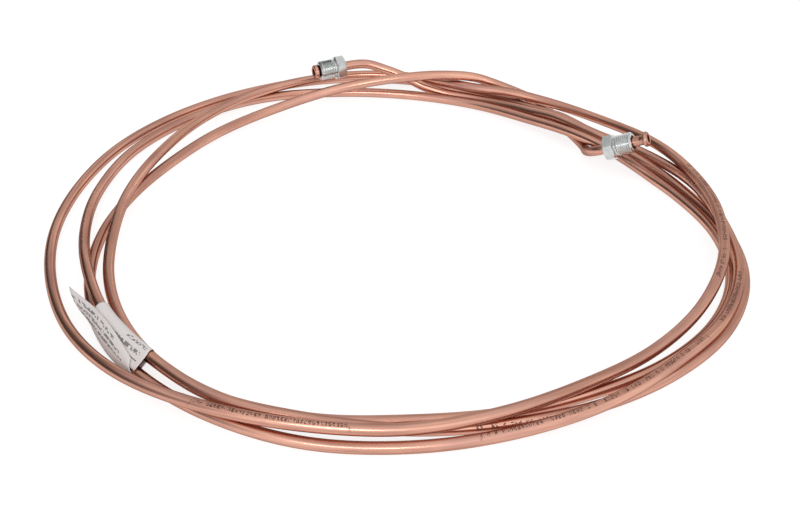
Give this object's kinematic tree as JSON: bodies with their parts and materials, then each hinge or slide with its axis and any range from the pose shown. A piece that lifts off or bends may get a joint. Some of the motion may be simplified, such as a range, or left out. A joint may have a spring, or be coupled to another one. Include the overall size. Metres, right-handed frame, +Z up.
{
  "type": "copper tube coil",
  "caption": "Soft copper tube wound by hand into a loose flat coil, with flared ends, a loose male flare nut on each end and a paper label wrapped round the turns.",
  "frame": {"origin": "on the floor under the middle of the coil's box", "axes": "+Z up out of the coil's plane, -Y towards the front, where the turns lie closest together, +X to the right"},
  "size_m": [0.2999, 0.3034, 0.0245],
  "materials": {
    "copper": "satin drawn copper",
    "zinc_plated_steel": "bright zinc plate",
    "label_paper": "matt white paper"
  },
  "bodies": {
    "coil": {"copper_tube": "copper", "paper_label": "label_paper"},
    "nut_left": {"flare_nut_left": "zinc_plated_steel"},
    "nut_right": {"flare_nut_right": "zinc_plated_steel"}
  },
  "joints": [
    {"name": "left_nut_turn", "type": "hinge", "parent": "coil", "child": "nut_left", "pos_m": [-0.03488, 0.12991, 0.01635], "axis": [-0.9026, -0.4305, 0], "continuous": true},
    {"name": "right_nut_turn", "type": "hinge", "parent": "coil", "child": "nut_right", "pos_m": [0.1087, 0.0469, 0.01682], "axis": [0.8578, -0.3038, 0.4147], "continuous": true}
  ]
}
